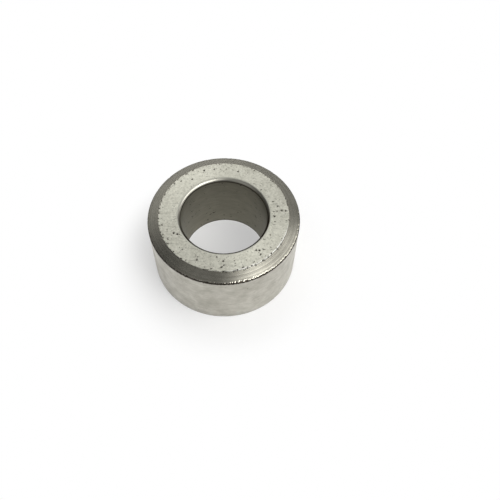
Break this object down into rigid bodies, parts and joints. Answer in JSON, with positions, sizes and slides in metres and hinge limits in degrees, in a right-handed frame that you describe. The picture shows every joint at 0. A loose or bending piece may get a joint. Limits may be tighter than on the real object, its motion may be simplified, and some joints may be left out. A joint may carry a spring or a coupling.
{
  "type": "spacer sleeve",
  "caption": "Short thick-walled steel spacer sleeve with ground end faces, rounded bore mouths and a shallow lead-in cone round one end.",
  "frame": {"origin": "centre of the plain end face, which the sleeve stands on", "axes": "+Z along the bore, out of the end with the lead-in cone; X and Y are free, because the form is a solid of revolution"},
  "size_m": [0.0444, 0.0444, 0.0222],
  "materials": {
    "ground_steel": "ground and worn, with fine corrosion pits and small edge nicks"
  },
  "bodies": {
    "root": {"sleeve": "ground_steel"}
  },
  "joints": []
}
